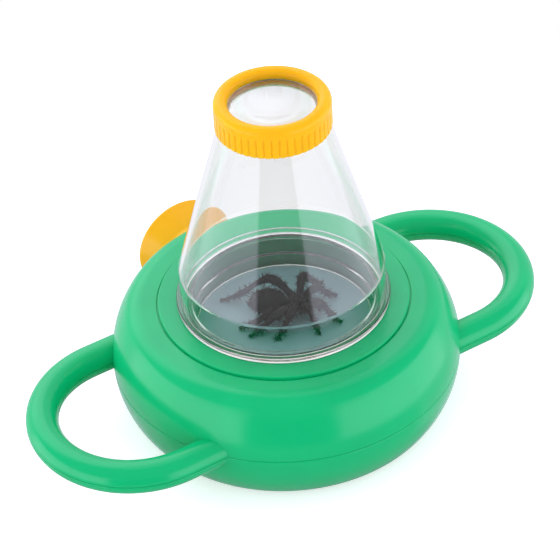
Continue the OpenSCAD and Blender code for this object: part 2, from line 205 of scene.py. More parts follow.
# %% [markdown]
# Shells are joined from simple solids as a mould maker does: a turned bowl, the handle bars, the
# bosses, then the holes. A Boolean modifier does each step. Its Manifold solver is quick and
# exact on closed solids, and the result is taken as a plain mesh at once.

# %% Joining and cutting
def combined(base, tools, operation):
    """base with the tools joined to it or cut out of it. The tools are used up."""
    for tool in tools:
        step = base.modifiers.new("combine", "BOOLEAN")
        step.operation = operation
        step.solver = "MANIFOLD"
        step.object = tool
    baked(base)
    for tool in tools:
        bpy.data.objects.remove(tool)
    return base


def pin(radius, low, high, x=0.0, y=0.0, segments=48):
    """A plain round solid along Z, in millimetres, used to join or cut."""
    piece = spun("pin", [(0, low), (radius, low), (radius, high), (0, high)], segments)
    for v in piece.data.vertices:
        v.co += Vector((x, y, 0)) * MM
    return piece


def block(low, high):
    """A plain box between two corners in millimetres, used to join or cut."""
    bm = bmesh.new()
    bmesh.ops.create_cube(bm, size=1)
    for v in bm.verts:
        v.co = Vector([(lo if c < 0 else hi) * MM for lo, hi, c in zip(low, high, v.co)])
    return mesh_piece("block", bm)


print("solids to join and cut with: pin and block")

# %% [markdown]
# The body's section is one flank arc that runs into a smaller arc at the deck and another at
# the base. Sizes are millimetres; the largest radius comes from the frame. The two shells meet
# at the parting line, where each edge is rounded a little, which draws the fine line that runs
# round the body and along both handles.

# %% Body section
BODY_R = -frame_mm("lower_shell", 0, 1)
DECK_Z = 47.0
SEAM_Z = 24.0
FLANK_R = 34.5
SHOULDER_R = 8.4
FOOT_R = 10.5
WALL = 2.4
SEAM_EDGE = 0.5
FLANK_STEPS = 26
CORNER_STEPS = 16

flank_x = BODY_R - FLANK_R
shoulder_turn = math.asin((DECK_Z - SHOULDER_R - SEAM_Z) / (FLANK_R - SHOULDER_R))
shoulder_x = flank_x + (FLANK_R - SHOULDER_R) * math.cos(shoulder_turn)
foot_turn = math.asin((SEAM_Z - FOOT_R) / (FLANK_R - FOOT_R))
foot_x = flank_x + (FLANK_R - FOOT_R) * math.cos(foot_turn)


def upper_side(inset):
    """Side of the body from the parting line up to the deck, moved in by inset."""
    turn = math.degrees(shoulder_turn)
    return (arc(flank_x, SEAM_Z, FLANK_R - inset, 0, turn, FLANK_STEPS)
            + arc(shoulder_x, DECK_Z - SHOULDER_R, SHOULDER_R - inset, turn, 90, CORNER_STEPS)[1:])


def lower_side(inset):
    """Side of the body from the base up to the parting line, moved in by inset."""
    turn = math.degrees(foot_turn)
    return (arc(foot_x, FOOT_R, FOOT_R - inset, -90, -turn, CORNER_STEPS)
            + arc(flank_x, SEAM_Z, FLANK_R - inset, -turn, 0, FLANK_STEPS)[1:])


def seam_corner(side):
    """The side's points with a rounded edge where it meets the parting line."""
    return [(*p, SEAM_EDGE) if abs(p[1] - SEAM_Z) < 1e-9 else p for p in side]


print("body radius", round(BODY_R, 2))
print("deck edge at", round(shoulder_x, 2), "and base edge at", round(foot_x, 2))

# %% [markdown]
# Each handle is a round hollow bar: two straight arms and a half ring. It is split along the
# parting line like the body, so each shell carries one half of both bars. First come the half
# section of the bar, with its rounded seam edges, and the path of the loop.

# %% Handle section and path
BAR_R = 6.0
BAR_WALL = 2.0
BAR_STEPS = 40
ARM_Y = 34.5
HANDLE_REACH = frame_mm("lower_shell", 1, 0)
BEND_STEPS = 72
ARM_STEPS = 6

bend_x = HANDLE_REACH - BAR_R - ARM_Y
root_x = math.sqrt((BODY_R - WALL) ** 2 - (ARM_Y + BAR_R) ** 2) - BAR_R


def bar_section(half):
    """Half ring section of the bar: across and up, with the seam's outer edges rounded."""
    outer = arc(0, 0, BAR_R, 0, 180, BAR_STEPS)
    inner = arc(0, 0, BAR_R - BAR_WALL, 180, 0, BAR_STEPS // 2)
    corners = [(*outer[0], SEAM_EDGE)] + outer[1:-1] + [(*outer[-1], SEAM_EDGE)] + inner
    return [(across, up * half) for across, up in rounded(corners)]


def loop_path():
    """Places along one handle in millimetres, each with its outward direction."""
    arm = [root_x + (bend_x - root_x) * i / ARM_STEPS for i in range(ARM_STEPS)]
    near = [((x, -ARM_Y), (0, -1)) for x in arm]
    far = [((x, ARM_Y), (0, 1)) for x in reversed(arm)]
    bend = [((bend_x + ARM_Y * math.cos(a), ARM_Y * math.sin(a)), (math.cos(a), math.sin(a)))
            for a in (math.pi * (i / BEND_STEPS - 0.5) for i in range(BEND_STEPS + 1))]
    return near + bend + far


print("handle arms from", round(root_x, 1), "to", round(bend_x, 1))
print("handles reach", round(HANDLE_REACH, 1))

# %% [markdown]
# The half section is carried along the path point by point. A curve with a bevel could make a
# whole bar, but not a half one with rounded seam edges. The arms run into the body without any
# blend, which leaves the crisp crease that such cheap mouldings have.

# %% Handle halves
def handle_half(half, side):
    """The upper or lower half of one handle, on the +X or -X side."""
    bm = bmesh.new()
    section = bar_section(half)
    rings = []
    for (x, y), (out_x, out_y) in loop_path():
        rings.append([bm.verts.new((side * (x + out_x * across) * MM,
                                    side * (y + out_y * across) * MM,
                                    (SEAM_Z + up) * MM)) for across, up in section])
    for ring, following in zip(rings, rings[1:]):
        for i in range(len(section)):
            j = (i + 1) % len(section)
            bm.faces.new((ring[i], ring[j], following[j], following[i]))
    bm.faces.new(rings[0])
    bm.faces.new(rings[-1])
    return mesh_piece("handle_half", bm)


def handles(half, core):
    """Both handle halves of one shell, trimmed to the middle of the body's wall."""
    bars = [handle_half(half, side) for side in (1, -1)]
    return [combined(bar, [spun("core", core)], "DIFFERENCE") for bar in bars]


print("handle path has", len(loop_path()), "places")

# %% [markdown]
# Inside, four bosses take the body screws from below, two low bosses take the mirror's holder,
# and ribs beside the collar hold the eyepiece. They hardly show, but they are what joins the
# shells, so they are made with them. Their places are those of the frame.

# %% Bosses, ribs and holes
SCREW_CIRCLE_R = 46.0
BOSS_R = 4.5
BOSS_TOP_Z = 22.0
HEAD_SEAT_Z = 12.0
HEAD_POCKET_R = 3.3
SHANK_HOLE_R = 1.55
SHANK_TIP_Z = 32.05
TAB_X = 30.8
TAB_Y = -1.37
TAB_BOSS_R = 3.7
TAB_BOSS_Z = 6.4
EYE_TUBE_R = 15.0
EYE_GAP = 0.1
EYE_HOLE_FROM = 39.0
EYE_HOLE_TO = 90.0
COLLAR_Y = 47.0
RIB_T = 2.4
RIB_GAP = 1.1
RIB_HALF_W = 19.4

screw_places = [(SCREW_CIRCLE_R * math.cos(a), SCREW_CIRCLE_R * math.sin(a))
                for a in (math.radians(45 + 90 * i) for i in range(4))]
tab_places = [(-TAB_X, TAB_Y), (TAB_X, TAB_Y)]


def along_eyepiece(piece):
    """Lays a piece that was turned round Z down along the eyepiece's axis, +Y."""
    for v in piece.data.vertices:
        v.co = Vector((v.co.x, v.co.z, SEAM_Z * MM - v.co.y))
    return piece


def eye_hole():
    """Round cut for the eyepiece tube."""
    return along_eyepiece(pin(EYE_TUBE_R + EYE_GAP, EYE_HOLE_FROM, EYE_HOLE_TO, segments=128))


def ribs(low, high):
    """The two ribs beside the eyepiece's collar."""
    starts = (COLLAR_Y - RIB_GAP - RIB_T, COLLAR_Y + RIB_GAP)
    return [block((-RIB_HALF_W, y, low), (RIB_HALF_W, y + RIB_T, high)) for y in starts]


print("bosses:", len(screw_places), "for the shells and", len(tab_places), "for the holder")

# %% [markdown]
# The upper shell is one turned section: the side, the deck, a fine groove round the raised
# plateau, and the well with the ledge that the dish stands on. The groove is cut in the section,
# not drawn in the material, so it catches real shade. Handles, posts and ribs are then joined to
# it, and the screw pilots and the eyepiece's hole are cut.

# %% Upper shell
CORE_MARGIN = 6.0
JOIN_DEPTH = 0.1
PLATEAU_R = 46.5
PLATEAU_Z = 48.1
LINE_W = 0.5
LINE_D = 0.5
WELL_R = 35.4
WELL_WALL = 1.6
LEDGE_R = 30.5
DISH_BOTTOM_Z = frame_mm("specimen_dish", 0, 2)

well_out_r = WELL_R + WELL_WALL
well_low_z = DISH_BOTTOM_Z - WELL_WALL
upper = spun("upper_shell_moulding", rounded(
    seam_corner(upper_side(0))
    + [(PLATEAU_R + LINE_W, DECK_Z, 0.2), (PLATEAU_R + LINE_W, DECK_Z - LINE_D),
       (PLATEAU_R, DECK_Z - LINE_D), (PLATEAU_R, PLATEAU_Z, 0.45), (WELL_R, PLATEAU_Z, 0.3),
       (WELL_R, DISH_BOTTOM_Z), (LEDGE_R, DISH_BOTTOM_Z, 0.25), (LEDGE_R, well_low_z, 0.25),
       (well_out_r, well_low_z, 0.4), (well_out_r, DECK_Z - WALL)]
    + upper_side(WALL)[::-1]))
upper_core = ([(0, SEAM_Z - CORE_MARGIN), (BODY_R - WALL / 2, SEAM_Z - CORE_MARGIN)]
              + upper_side(WALL / 2) + [(0, DECK_Z - WALL / 2)])
posts = [pin(BOSS_R, BOSS_TOP_Z, DECK_Z - WALL / 2, *place) for place in screw_places]
combined(upper, handles(1, upper_core) + posts + ribs(SEAM_Z, DECK_Z - WALL + JOIN_DEPTH), "UNION")
pilots = [pin(SHANK_HOLE_R, HEAD_SEAT_Z, SHANK_TIP_Z, *place) for place in screw_places]
smooth(combined(upper, pilots + [eye_hole()], "DIFFERENCE"))
print("upper shell faces:", len(upper.data.polygons))

# %% [markdown]
# The lower shell is the closed bowl that stands on the table. A lip inside its edge reaches up
# into the upper shell and keeps the two in line. Each body screw has a deep pocket for its head,
# so the heads lie well above the table.

# %% Lower shell
LIP_H = 2.0
LIP_GAP = 0.2
LIP_W = 1.2
LIP_FOOT = 0.1
POCKET_BELOW = 2.0

lip_out_r = BODY_R - WALL - LIP_GAP
lip_in_r = lip_out_r - LIP_W
lower = spun("lower_shell_moulding", rounded(
    [(0, 0)] + seam_corner(lower_side(0))
    + [(lip_out_r, SEAM_Z), (lip_out_r, SEAM_Z + LIP_H, 0.2), (lip_in_r, SEAM_Z + LIP_H, 0.2),
       (lip_in_r, SEAM_Z - LIP_H), (BODY_R - WALL - LIP_FOOT, SEAM_Z - LIP_H)]
    + lower_side(WALL)[::-1][2:] + [(0, WALL)]))
lower_core = ([(0, 0)] + lower_side(WALL / 2)
              + [(BODY_R - WALL / 2, SEAM_Z + CORE_MARGIN), (0, SEAM_Z + CORE_MARGIN)])
bosses = [pin(BOSS_R, WALL / 2, BOSS_TOP_Z, *place) for place in screw_places]
bosses += [pin(TAB_BOSS_R, WALL / 2, TAB_BOSS_Z, *place) for place in tab_places]
combined(lower, handles(-1, lower_core) + bosses + ribs(WALL - JOIN_DEPTH, SEAM_Z), "UNION")
pockets = [pin(HEAD_POCKET_R, -POCKET_BELOW, HEAD_SEAT_Z, *place) for place in screw_places]
pockets += [pin(SHANK_HOLE_R, 0, SEAM_Z, *place) for place in screw_places]
smooth(combined(lower, pockets + [eye_hole()], "DIFFERENCE"))
print("lower shell faces:", len(lower.data.polygons))

# %% [markdown]
# The clear pieces are one dish, one cone and two lenses. Clear plastic shows every edge, because
# light bends through it and collects along its rims. So these are made with their true wall
# thickness and with small round edges, never as a single skin. The dish stands a hair above its
# ledge: a clear face in the same place as a green one would show as dark patches.

# %% Specimen dish
DISH_R = frame_mm("specimen_dish", 1, 0)
DISH_RIM_Z = frame_mm("specimen_dish", 1, 2)
DISH_WALL = 1.0
DISH_LIP_W = 0.6
DISH_LIP_H = 1.1
DISH_STEP_W = 0.8
DISH_STEP_H = 5.0
DISH_FLOOR_Z = DISH_BOTTOM_Z + 1.5
AIR_GAP = 0.06

dish_in_r = DISH_R - DISH_WALL
dish_lip_r = dish_in_r - DISH_LIP_W
dish_lip_z = DISH_RIM_Z - DISH_LIP_H
dish_step_z = DISH_FLOOR_Z + DISH_STEP_H
dish_low_z = DISH_BOTTOM_Z + AIR_GAP
dish = smooth(spun("clear_dish", rounded([
    (0, dish_low_z), (DISH_R, dish_low_z, 0.6), (DISH_R, DISH_RIM_Z, 0.45),
    (dish_lip_r, DISH_RIM_Z, 0.45), (dish_lip_r, dish_lip_z, 0.2),
    (dish_in_r, dish_lip_z - DISH_LIP_W, 0.2), (dish_in_r, dish_step_z + DISH_STEP_W, 0.5),
    (dish_in_r - DISH_STEP_W, dish_step_z, 0.5), (dish_in_r - DISH_STEP_W, DISH_FLOOR_Z, 0.8),
    (0, DISH_FLOOR_Z)])))
print("dish floor at", round(DISH_FLOOR_Z, 2), "rim at", round(DISH_RIM_Z, 2))

# %% [markdown]
# The cone is one moulding too: a bead at its foot, an upright skirt round the dish's rim, the
# sloping wall, and a neck that takes the cap. It could be a plain hollow cone, but then the bright
# rings at its foot would be missing. The shelf inside the neck is sloped, because a square one
# throws a dark ring under the magnifier.

# %% Viewing cone
CONE_WALL = 1.6
SKIRT_IN_R = 36.2
SKIRT_TOP_Z = 63.1
BEAD_W = 1.7
BEAD_H = 2.3
NECK_Z = 125.0
NECK_R = 18.3
NECK_TOP_Z = frame_mm("viewing_cone", 1, 2)
CONE_TOP_R = 19.8
SHELF_UP = 0.2
SHELF_DROP = 2.03

skirt_r = SKIRT_IN_R + CONE_WALL
neck_in_r = NECK_R - CONE_WALL
cone = smooth(spun("clear_cone", rounded([
    (SKIRT_IN_R, PLATEAU_Z + AIR_GAP, 0.3), (skirt_r + BEAD_W, PLATEAU_Z + AIR_GAP, 0.6),
    (skirt_r + BEAD_W, PLATEAU_Z + BEAD_H, 0.6), (skirt_r, PLATEAU_Z + BEAD_H, 0.3),
    (skirt_r, SKIRT_TOP_Z, 2.0), (CONE_TOP_R, NECK_Z, 0.3), (NECK_R, NECK_Z),
    (NECK_R, NECK_TOP_Z, 0.3), (neck_in_r, NECK_TOP_Z, 0.3), (neck_in_r, NECK_Z + SHELF_UP, 0.3),
    (neck_in_r + SHELF_DROP, NECK_Z + SHELF_UP - SHELF_DROP), (SKIRT_IN_R, SKIRT_TOP_Z, 2.0)])))
print("cone from radius", round(skirt_r, 1), "to", CONE_TOP_R)

# %% [markdown]
# Both lenses are moulded with a flange, a flat underside and one domed face. The dome is a true
# arc, so the lens bends light like the real one: through the magnifier only a narrow band of the
# cap's far wall shows. A stronger dome would mirror the light back at the near edge. The eyepiece
# lens lies on its side, so its turned mesh is laid along +Y.

# %% Lenses
LENS_Z = NECK_TOP_Z + 0.1
LENS_EDGE_T = 1.65
LENS_CURVE_R = 50.0
CAP_OPEN_R = 15.68
EYE_SEAT_Y = 60.0
EYE_WALL = 2.0
EYE_BORE_R = 11.8
EYE_LENS_EDGE_T = 2.0
EYE_LENS_CURVE_R = 40.0
EYE_LENS_GAP = 0.05
DOME_STEPS = 20


def lens_outline(low, flange_r, optic_r, edge_t, curve_r):
    """Half section of a lens: a flat underside at low, a flange and one domed face."""
    dome = math.degrees(math.asin(optic_r / curve_r))
    centre = low + edge_t - curve_r * math.cos(math.radians(dome))
    return rounded([(0, low), (flange_r, low, 0.2), (flange_r, low + edge_t, 0.2)]
                   + arc(0, centre, curve_r, 90 - dome, 90, DOME_STEPS))


eye_seat_r = EYE_TUBE_R - EYE_WALL - EYE_LENS_GAP
top_lens = smooth(spun("clear_magnifier_lens", lens_outline(
    LENS_Z, NECK_R, CAP_OPEN_R - LENS_EDGE_T / 4, LENS_EDGE_T, LENS_CURVE_R)))
eye_lens = smooth(along_eyepiece(spun("clear_eyepiece_lens", lens_outline(
    EYE_SEAT_Y, eye_seat_r, EYE_BORE_R - EYE_WALL / 4, EYE_LENS_EDGE_T, EYE_LENS_CURVE_R))))
print("magnifier at height", round(LENS_Z, 1), "and eyepiece lens at", EYE_SEAT_Y)

# %% [markdown]
# The eyecup is a tube with a collar that the shells clamp, a seat for its lens and a flared rim
# for the eye. It is turned round Z like the rest and then laid down along +Y.

# %% Eyecup
EYE_IN_Y = frame_mm("eyepiece_cup", 0, 1)
EYE_REACH = frame_mm("eyepiece_cup", 1, 1)
EYE_RIM_R = frame_mm("eyepiece_cup", 1, 0)
EYE_FLARE_Y = 66.0
EYE_RIM_T = 1.0
COLLAR_HALF_T = 1.0
COLLAR_W = 2.0

eyecup = smooth(along_eyepiece(spun("eyecup_moulding", rounded([
    (EYE_BORE_R, EYE_IN_Y, 0.3), (EYE_TUBE_R, EYE_IN_Y, 0.3),
    (EYE_TUBE_R, COLLAR_Y - COLLAR_HALF_T), (EYE_TUBE_R + COLLAR_W, COLLAR_Y - COLLAR_HALF_T, 0.2),
    (EYE_TUBE_R + COLLAR_W, COLLAR_Y + COLLAR_HALF_T, 0.2), (EYE_TUBE_R, COLLAR_Y + COLLAR_HALF_T),
    (EYE_TUBE_R, EYE_FLARE_Y, 1.5), (EYE_RIM_R, EYE_REACH - EYE_RIM_T, 0.4),
    (EYE_RIM_R, EYE_REACH, 0.8), (EYE_RIM_R - EYE_WALL, EYE_REACH, 0.8),
    (EYE_TUBE_R - EYE_WALL, EYE_FLARE_Y, 1.5), (EYE_TUBE_R - EYE_WALL, EYE_SEAT_Y),
    (EYE_BORE_R, EYE_SEAT_Y, 0.2)]))))
print("eyecup from", round(EYE_IN_Y, 1), "to", round(EYE_REACH, 1))

# %% [markdown]
# Finishes come next. Materials and Geometry Nodes are both trees of nodes, so a few helpers serve
# them all: add a node, calculate, map a value softly, blend two colours. The nodes could be placed
# by hand in the editor, but in a script each line reads like the sum that it stands for.

# %% Node helpers
def add(tree, kind, inputs=None, **settings):
    """Adds a node. Each input is a plain value or another node's output."""
    made = tree.nodes.new(kind)
    for name, value in settings.items():
        setattr(made, name, value)
    for name, value in (inputs or {}).items():
        if isinstance(value, bpy.types.NodeSocket):
            tree.links.new(value, made.inputs[name])
        else:
            made.inputs[name].default_value = value
    return made


def calc(tree, operation, a, b=0.0):
    """The output of one Math node."""
    return add(tree, "ShaderNodeMath", {0: a, 1: b}, operation=operation).outputs[0]


def product(tree, value, *others):
    """All the values multiplied."""
    for other in others:
        value = calc(tree, "MULTIPLY", value, other)
    return value


def left_of(tree, share):
    """What is left of one when a share is taken."""
    return calc(tree, "SUBTRACT", 1.0, share)


def ramp(tree, value, start, end, low=0.0, high=1.0):
    """value mapped from start..end to low..high, softly at both ends."""
    inputs = {"Value": value, "From Min": start, "From Max": end, "To Min": low, "To Max": high}
    return add(tree, "ShaderNodeMapRange", inputs, interpolation_type="SMOOTHSTEP").outputs[0]


def blend(tree, share, first, second):
    """One colour that turns into another as the share goes from 0 to 1."""
    return add(tree, "ShaderNodeMix", {0: share, 6: first, 7: second}, data_type="RGBA").outputs[2]


def scaled(tree, vector, share):
    """A vector or colour times a share."""
    return add(tree, "ShaderNodeVectorMath", {0: vector, "Scale": share}, operation="SCALE").outputs[0]


def facing(tree, vector, way):
    """How far a vector points along a way: 1 is along it and 0 is across it."""
    made = add(tree, "ShaderNodeVectorMath", {0: vector, 1: way}, operation="DOT_PRODUCT")
    return made.outputs["Value"]


print("node helpers ready")

# %% [markdown]
# Three more helpers start a finish: a noise, an empty group with its sockets, and a material with
# its shader. The noise reads Object coordinates, so a pattern stays on its piece when the piece
# moves, and its size is given per metre.

# %% Noise, groups and materials
FLOAT = "NodeSocketFloat"
COLOUR = "NodeSocketColor"


def noise(tree, scale, detail=2.0, rough=0.5):
    """A noise pattern in the piece's own metres."""
    place = add(tree, "ShaderNodeTexCoord").outputs["Object"]
    inputs = {"Vector": place, "Scale": scale, "Detail": detail, "Roughness": rough}
    return add(tree, "ShaderNodeTexNoise", inputs).outputs[0]


def new_group(name, inputs, outputs):
    """An empty shader group with its sockets, and its input and output nodes."""
    tree = bpy.data.node_groups.new(name, "ShaderNodeTree")
    for socket, kind, value in inputs:
        made = tree.interface.new_socket(socket, in_out="INPUT", socket_type=kind)
        made.default_value = value
    for socket, kind in outputs:
        tree.interface.new_socket(socket, in_out="OUTPUT", socket_type=kind)
    return tree, tree.nodes.new("NodeGroupInput"), tree.nodes.new("NodeGroupOutput")


def blank_material(name):
    """A material with its Principled shader, ready for its finish."""
    material = bpy.data.materials.new(name)
    material.use_nodes = True
    return material, material.node_tree, material.node_tree.nodes["Principled BSDF"]


print("a finish starts from a noise, a group or a blank material")

# %% [markdown]
# The shells and the cap are plain coloured plastic from a polished mould: a semi-gloss skin with
# a very fine grain, and colour that drifts a little where the plastic flowed. Several finishes
# share that skin, so it is one node group with its own sizes as inputs. It puts out only what
# changes over the surface, and the shader stays in each material.

# %% Moulded skin
skin, skin_in, skin_out = new_group(
    "moulded skin",
    [("Colour", COLOUR, (0.5, 0.5, 0.5, 1)), ("Drift", FLOAT, 0.06), ("Flow size", FLOAT, 45.0),
     ("Grain size", FLOAT, 1800.0), ("Roughness", FLOAT, 0.2), ("Roughness drift", FLOAT, 0.06)],
    [("Colour", COLOUR), ("Roughness", FLOAT), ("Height", FLOAT)])
flow = ramp(skin, noise(skin, skin_in.outputs["Flow size"], detail=3.0), 0.3, 0.7, -1.0, 1.0)
level = calc(skin, "ADD", product(skin, flow, skin_in.outputs["Drift"]), 1.0)
skin.links.new(scaled(skin, skin_in.outputs["Colour"], level), skin_out.inputs["Colour"])
rub = product(skin, calc(skin, "SUBTRACT", noise(skin, 160.0, 4.0), 0.5),
              skin_in.outputs["Roughness drift"])
skin.links.new(calc(skin, "ADD", rub, skin_in.outputs["Roughness"]), skin_out.inputs["Roughness"])
skin.links.new(noise(skin, skin_in.outputs["Grain size"], 2.0), skin_out.inputs["Height"])
print("moulded skin group has", len(skin.nodes), "nodes")

# %% [markdown]
# Three small recipes make the plastics from that skin. The orange cap lets some light into its
# wall, which subsurface scattering gives, so its grooves and lip glow a little. The inner end of
# the eyecup's tube gets painted shade: it is painted black for the dark down inside the viewer,
# so that nothing bright shows through the dish from below.

# %% Recipes for the plastics
GRAIN_DEPTH = 0.02 * MM
CAP_GLOW = 0.4
CAP_GLOW_DEPTH = 6.0 * MM
PAINTED_SHADE_END_Y = 50.0
# painted shade: this black stands for the dark inside the viewer, not a colour of the tube
TUBE_PAINTED_SHADE = (0.012, 0.012, 0.012, 1)


def moulded(name, colour, values, bump, ior=1.40):
    """A coloured plastic with the moulded skin."""
    material, tree, shader = blank_material(name)
    part = add(tree, "ShaderNodeGroup", node_tree=skin)
    part.inputs["Colour"].default_value = (*colour, 1)
    for key, value in values.items():
        part.inputs[key].default_value = value
    tree.links.new(part.outputs["Colour"], shader.inputs["Base Color"])
    tree.links.new(part.outputs["Roughness"], shader.inputs["Roughness"])
    grain = add(tree, "ShaderNodeBump", {"Height": part.outputs["Height"], "Strength": bump})
    grain.inputs["Distance"].default_value = GRAIN_DEPTH
    tree.links.new(grain.outputs[0], shader.inputs["Normal"])
    shader.inputs["IOR"].default_value = ior
    return material


def glowing(material):
    """Lets light into a plastic, so that it scatters under the surface."""
    inputs = material.node_tree.nodes["Principled BSDF"].inputs
    inputs["Subsurface Weight"].default_value = CAP_GLOW
    inputs["Subsurface Radius"].default_value = (1.0, 0.45, 0.05)
    inputs["Subsurface Scale"].default_value = CAP_GLOW_DEPTH
    return material


def shade_painted(material):
    """Paints shade on a plastic: black on the inner end of the eyepiece tube, for the dark inside."""
    tree = material.node_tree
    base = tree.nodes["Principled BSDF"].inputs["Base Color"]
    place = add(tree, "ShaderNodeTexCoord").outputs["Object"]
    along_y = add(tree, "ShaderNodeSeparateXYZ", {0: place}).outputs[1]
    outside = ramp(tree, along_y, PAINTED_SHADE_END_Y * MM, (PAINTED_SHADE_END_Y + 1) * MM)
    # painted shade: the tube's inner end is painted black for the dark inside the viewer
    tree.links.new(blend(tree, outside, TUBE_PAINTED_SHADE, base.links[0].from_socket), base)
    return material


print("plastic recipes: moulded, glowing and blackened")

# %% [markdown]
# Each plastic is now one call: its colour, how far its skin departs from the usual one, how strong
# the grain is, and how much it reflects. The colours were judged under the light of this room.

# %% Coloured plastics
green_plastic = moulded("green_shell_plastic", (0.002, 0.48, 0.153), {"Drift": 0.03}, 0.25)
orange_plastic = glowing(moulded(
    "orange_cap_plastic", (0.99, 0.478, 0.008), {"Drift": 0.03}, 0.2, ior=1.25))
# the eyecup's inner end carries painted shade
eyecup_plastic = shade_painted(moulded(
    "orange_eyecup_plastic", (0.99, 0.47, 0.008), {"Drift": 0.03}, 0.2, ior=1.33))
black_plastic = moulded(
    "black_holder_plastic", (0.02, 0.02, 0.022),
    {"Drift": 0.2, "Roughness": 0.55, "Grain size": 900.0}, 0.5)
toy_black = moulded(
    "toy_spider_black", (0.011, 0.011, 0.012),
    {"Drift": 0.3, "Roughness": 0.36, "Grain size": 700.0, "Flow size": 300.0}, 0.6, ior=1.2)
print("coloured plastics:", green_plastic.name, orange_plastic.name, eyecup_plastic.name)
print("black plastics:", black_plastic.name, toy_black.name)

# %% [markdown]
# Clear plastic is made as glass: full transmission with the plastic's own index. It isn't
# perfect like optical glass. Handling leaves faint scuffs, which only change how sharp the
# reflections are, and the mould leaves a slight waviness, which bends what is seen through it.
# The dish's floor is frosted: what it lacks in clarity is a milky, pale blue haze.

# %% Clear plastic
WAVE_DEPTH = 0.1 * MM

haze, haze_in, haze_out = new_group(
    "clear scuffs",
    [("Polish", FLOAT, 0.01), ("Scuff", FLOAT, 0.04), ("Scuff size", FLOAT, 90.0),
     ("Wave size", FLOAT, 35.0)],
    [("Roughness", FLOAT), ("Height", FLOAT)])
patches = ramp(haze, noise(haze, haze_in.outputs["Scuff size"], 5.0, 0.7), 0.5, 0.8)
scuffed = product(haze, patches, haze_in.outputs["Scuff"])
haze.links.new(calc(haze, "ADD", scuffed, haze_in.outputs["Polish"]), haze_out.inputs["Roughness"])
haze.links.new(noise(haze, haze_in.outputs["Wave size"], 1.0), haze_out.inputs["Height"])


def clear(name, tint, ior=1.58, wave=0.3, clarity=1.0, polish=0.01):
    """A clear plastic with faint scuffs and mould waves. What it lacks in clarity is milky haze."""
    material, tree, shader = blank_material(name)
    part = add(tree, "ShaderNodeGroup", {"Polish": polish}, node_tree=haze)
    tree.links.new(part.outputs["Roughness"], shader.inputs["Roughness"])
    ripple = add(tree, "ShaderNodeBump", {"Height": part.outputs["Height"], "Strength": wave})
    ripple.inputs["Distance"].default_value = WAVE_DEPTH
    tree.links.new(ripple.outputs[0], shader.inputs["Normal"])
    shader.inputs["Base Color"].default_value = (*tint, 1)
    shader.inputs["Transmission Weight"].default_value = clarity
    shader.inputs["IOR"].default_value = ior
    return material


cone_clear = clear("clear_cone_plastic", (0.976, 0.976, 0.98))
dish_clear = clear("clear_dish_plastic", (0.88, 0.955, 0.965), clarity=0.99)
dish_frost = clear("frosted_dish_floor", (0.5, 0.9, 0.95), clarity=0.3, polish=0.3)
lens_clear = clear("clear_lens_plastic", (0.99, 0.99, 1.0), ior=1.5, wave=0.1)
print("clear plastics:", cone_clear.name, dish_clear.name, dish_frost.name, lens_clear.name)

# %% [markdown]
# Metal is a full Metallic shader whose polish drifts over the surface. The mirror is a thin
# plate silvered on one face only, so its edges and back are nearly black: the direction of the
# surface picks the colour, which saves cutting the plate into two pieces.

# %% Mirror and steel
MIRROR_WAY = (0, 0.707, 0.707)
SILVER = (0.88, 0.90, 0.92)
MIRROR_BACK = (0.015, 0.016, 0.018)


def metal(name, colour, roughness, size):
    """Bare metal whose polish drifts over the surface."""
    material, tree, shader = blank_material(name)
    worn = ramp(tree, noise(tree, size, 4.0, 0.6), 0.35, 0.7, roughness, roughness * 2)
    tree.links.new(worn, shader.inputs["Roughness"])
    shader.inputs["Base Color"].default_value = (*colour, 1)
    shader.inputs["Metallic"].default_value = 1.0
    return material


def one_sided(material, way, colour, back):
    """Keeps the colour on the face that looks along the way, and darkens the rest."""
    tree = material.node_tree
    turned = facing(tree, add(tree, "ShaderNodeTexCoord").outputs["Normal"], way)
    shown = calc(tree, "GREATER_THAN", turned, 0.9)
    silvered = blend(tree, shown, (*back, 1), (*colour, 1))
    tree.links.new(silvered, tree.nodes["Principled BSDF"].inputs["Base Color"])
    return material


mirror_silver = one_sided(metal("mirror_silver", SILVER, 0.02, 60.0), MIRROR_WAY, SILVER, MIRROR_BACK)
screw_steel = metal("zinc_screw_steel", (0.66, 0.66, 0.64), 0.22, 500.0)
print("metals:", mirror_silver.name, screw_steel.name)

# %% [markdown]
# The magnifier cap's grip band has 48 shallow grooves. They could be cut one by one, but their
# rule is simple: at evenly spaced angles, press the side in. A Geometry Nodes tree does that on
# the turned cap, so the grooves run out softly at the top. Every tree here has named inputs and
# ends the same way, with real faces and a finish, because the export drops instances.

# %% Grip grooves
GEOMETRY = "NodeSocketGeometry"


def new_tree(name, inputs):
    """An empty Geometry Nodes tree with named inputs, and its input and output nodes."""
    tree = bpy.data.node_groups.new(name, "GeometryNodeTree")
    tree.interface.new_socket("Geometry", in_out="OUTPUT", socket_type=GEOMETRY)
    for socket, kind in [("Geometry", GEOMETRY)] + inputs + [("Finish", "NodeSocketMaterial")]:
        tree.interface.new_socket(socket, in_out="INPUT", socket_type=kind)
    return tree, tree.nodes.new("NodeGroupInput"), tree.nodes.new("NodeGroupOutput")


def close_tree(tree, given, result, geometry):
    """Ends a tree: instances become real faces and take the finish."""
    real = add(tree, "GeometryNodeRealizeInstances", {"Geometry": geometry})
    painted = add(tree, "GeometryNodeSetMaterial",
                  {"Geometry": real.outputs[0], "Material": given.outputs["Finish"]})
    tree.links.new(painted.outputs[0], result.inputs["Geometry"])


